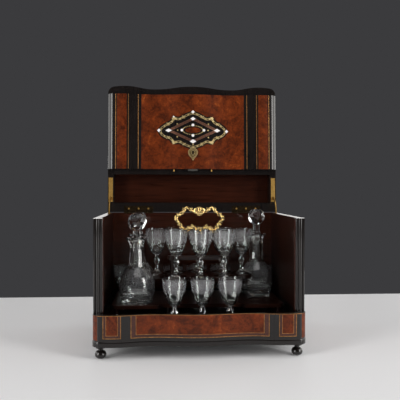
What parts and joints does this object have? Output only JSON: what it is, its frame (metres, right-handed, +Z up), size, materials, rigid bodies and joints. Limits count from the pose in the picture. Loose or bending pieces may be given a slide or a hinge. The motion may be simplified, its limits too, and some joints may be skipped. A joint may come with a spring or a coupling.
{
  "type": "tantalus",
  "caption": "Antique liqueur cabinet with hinged lid, folding front, lift-out caddy, decanters and stemmed glasses.",
  "frame": {"origin": "on the table, under the middle of the open case's bounding box", "axes": "+Z up, -Y towards the front, +X to the right seen from the front"},
  "size_m": [0.362, 0.3182, 0.5068],
  "materials": {
    "burl": "polished",
    "interior_wood": "polished",
    "ebonised": "polished",
    "brass": "polished",
    "gilt": "gilt",
    "steel": "brushed",
    "glass": "clear",
    "pearl": "polished"
  },
  "bodies": {
    "case": {"feet": "ebonised", "plinth_board": "ebonised", "base_front_rail": "burl", "base_rails": "burl", "case_floor": "interior_wood", "side_walls": "burl", "back_wall": "burl", "front_posts": "ebonised", "strike_plate": "steel", "case_hinge_leaves": "brass", "case_screws": "brass", "stay_wall_plates": "brass"},
    "stays": {"stay_link_left": "brass", "stay_link_right": "brass"},
    "lid": {"lid_top_board": "burl", "lid_front": "burl", "lid_back_rim": "interior_wood", "lid_side_rims": "interior_wood", "lid_hinge_leaves": "brass", "hinge_pins": "brass", "lid_screws": "brass", "stay_lid_plates": "brass", "front_hinge_lid_leaves": "brass"},
    "front": {"front_panel": "burl", "panel_lip": "ebonised", "escutcheon": "brass", "lock_case": "steel", "locating_pins": "brass", "marquetry_ground": "ebonised", "front_hinge_panel_leaves": "brass"},
    "bolt": {"lock_bolt": "steel"},
    "caddy": {"caddy_lower_board": "interior_wood", "caddy_pillars": "interior_wood", "decanter_board": "interior_wood", "glass_shelf": "interior_wood", "handle_rail": "interior_wood", "handle_stem": "gilt", "handle": "gilt"},
    "decanter_front_left": {"decanter_front_left": "glass"},
    "stopper_front_left": {"stopper_front_left": "glass"},
    "decanter_back_left": {"decanter_back_left": "glass"},
    "stopper_back_left": {"stopper_back_left": "glass"},
    "decanter_back_right": {"decanter_back_right": "glass"},
    "stopper_back_right": {"stopper_back_right": "glass"},
    "glass_01": {"glass_01": "glass"},
    "glass_02": {"glass_02": "glass"},
    "glass_03": {"glass_03": "glass"},
    "glass_04": {"glass_04": "glass"},
    "glass_05": {"glass_05": "glass"},
    "glass_06": {"glass_06": "glass"},
    "glass_07": {"glass_07": "glass"},
    "glass_08": {"glass_08": "glass"},
    "glass_09": {"glass_09": "glass"},
    "glass_10": {"glass_10": "glass"},
    "glass_11": {"glass_11": "glass"},
    "glass_12": {"glass_12": "glass"},
    "glass_13": {"glass_13": "glass"},
    "glass_14": {"glass_14": "glass"},
    "glass_15": {"glass_15": "glass"},
    "glass_16": {"glass_16": "glass"}
  },
  "joints": [
    {"name": "stays_turn", "type": "hinge", "parent": "case", "child": "stays", "pos_m": [0, 0.10988, 0.2362], "axis": [-1, 0, 0], "range_deg": [-76, 0]},
    {"name": "lid_turn", "type": "hinge", "parent": "stays", "child": "lid", "pos_m": [0, 0.10988, 0.2362], "axis": [-1, 0, 0], "range_deg": [-17, 0]},
    {"name": "front_turn", "type": "hinge", "parent": "lid", "child": "front", "pos_m": [0, 0.12303, 0.48703], "axis": [1, 0, 0], "range_deg": [-90, 0]},
    {"name": "lock_throw", "type": "slide", "parent": "front", "child": "bolt", "axis": [0, -0.0523, -0.9986], "range_m": [0, 0.005]},
    {"name": "caddy_lift", "type": "slide", "parent": "case", "child": "caddy", "axis": [0, 0, 1], "range_m": [0, 0.2]},
    {"name": "decanter_front_left_lift", "type": "slide", "parent": "caddy", "child": "decanter_front_left", "axis": [0, 0, 1], "range_m": [0, 0.15]},
    {"name": "stopper_front_left_lift", "type": "slide", "parent": "decanter_front_left", "child": "stopper_front_left", "axis": [0, 0, 1], "range_m": [0, 0.04]},
    {"name": "decanter_back_left_lift", "type": "slide", "parent": "caddy", "child": "decanter_back_left", "axis": [0, 0, 1], "range_m": [0, 0.15]},
    {"name": "stopper_back_left_lift", "type": "slide", "parent": "decanter_back_left", "child": "stopper_back_left", "axis": [0, 0, 1], "range_m": [0, 0.04]},
    {"name": "decanter_back_right_lift", "type": "slide", "parent": "caddy", "child": "decanter_back_right", "axis": [0, 0, 1], "range_m": [0, 0.15]},
    {"name": "stopper_back_right_lift", "type": "slide", "parent": "decanter_back_right", "child": "stopper_back_right", "axis": [0, 0, 1], "range_m": [0, 0.04]},
    {"name": "glass_01_lift", "type": "slide", "parent": "caddy", "child": "glass_01", "axis": [0, 0, 1], "range_m": [0, 0.1]},
    {"name": "glass_02_lift", "type": "slide", "parent": "caddy", "child": "glass_02", "axis": [0, 0, 1], "range_m": [0, 0.1]},
    {"name": "glass_03_lift", "type": "slide", "parent": "caddy", "child": "glass_03", "axis": [0, 0, 1], "range_m": [0, 0.1]},
    {"name": "glass_04_lift", "type": "slide", "parent": "caddy", "child": "glass_04", "axis": [0, 0, 1], "range_m": [0, 0.1]},
    {"name": "glass_05_lift", "type": "slide", "parent": "caddy", "child": "glass_05", "axis": [0, 0, 1], "range_m": [0, 0.1]},
    {"name": "glass_06_lift", "type": "slide", "parent": "caddy", "child": "glass_06", "axis": [0, 0, 1], "range_m": [0, 0.1]},
    {"name": "glass_07_lift", "type": "slide", "parent": "caddy", "child": "glass_07", "axis": [0, 0, 1], "range_m": [0, 0.1]},
    {"name": "glass_08_lift", "type": "slide", "parent": "caddy", "child": "glass_08", "axis": [0, 0, 1], "range_m": [0, 0.1]},
    {"name": "glass_09_lift", "type": "slide", "parent": "caddy", "child": "glass_09", "axis": [0, 0, 1], "range_m": [0, 0.1]},
    {"name": "glass_10_lift", "type": "slide", "parent": "caddy", "child": "glass_10", "axis": [0, 0, 1], "range_m": [0, 0.1]},
    {"name": "glass_11_lift", "type": "slide", "parent": "caddy", "child": "glass_11", "axis": [0, 0, 1], "range_m": [0, 0.1]},
    {"name": "glass_12_lift", "type": "slide", "parent": "caddy", "child": "glass_12", "axis": [0, 0, 1], "range_m": [0, 0.1]},
    {"name": "glass_13_lift", "type": "slide", "parent": "caddy", "child": "glass_13", "axis": [0, 0, 1], "range_m": [0, 0.1]},
    {"name": "glass_14_lift", "type": "slide", "parent": "caddy", "child": "glass_14", "axis": [0, 0, 1], "range_m": [0, 0.1]},
    {"name": "glass_15_lift", "type": "slide", "parent": "caddy", "child": "glass_15", "axis": [0, 0, 1], "range_m": [0, 0.1]},
    {"name": "glass_16_lift", "type": "slide", "parent": "caddy", "child": "glass_16", "axis": [0, 0, 1], "range_m": [0, 0.1]}
  ]
}
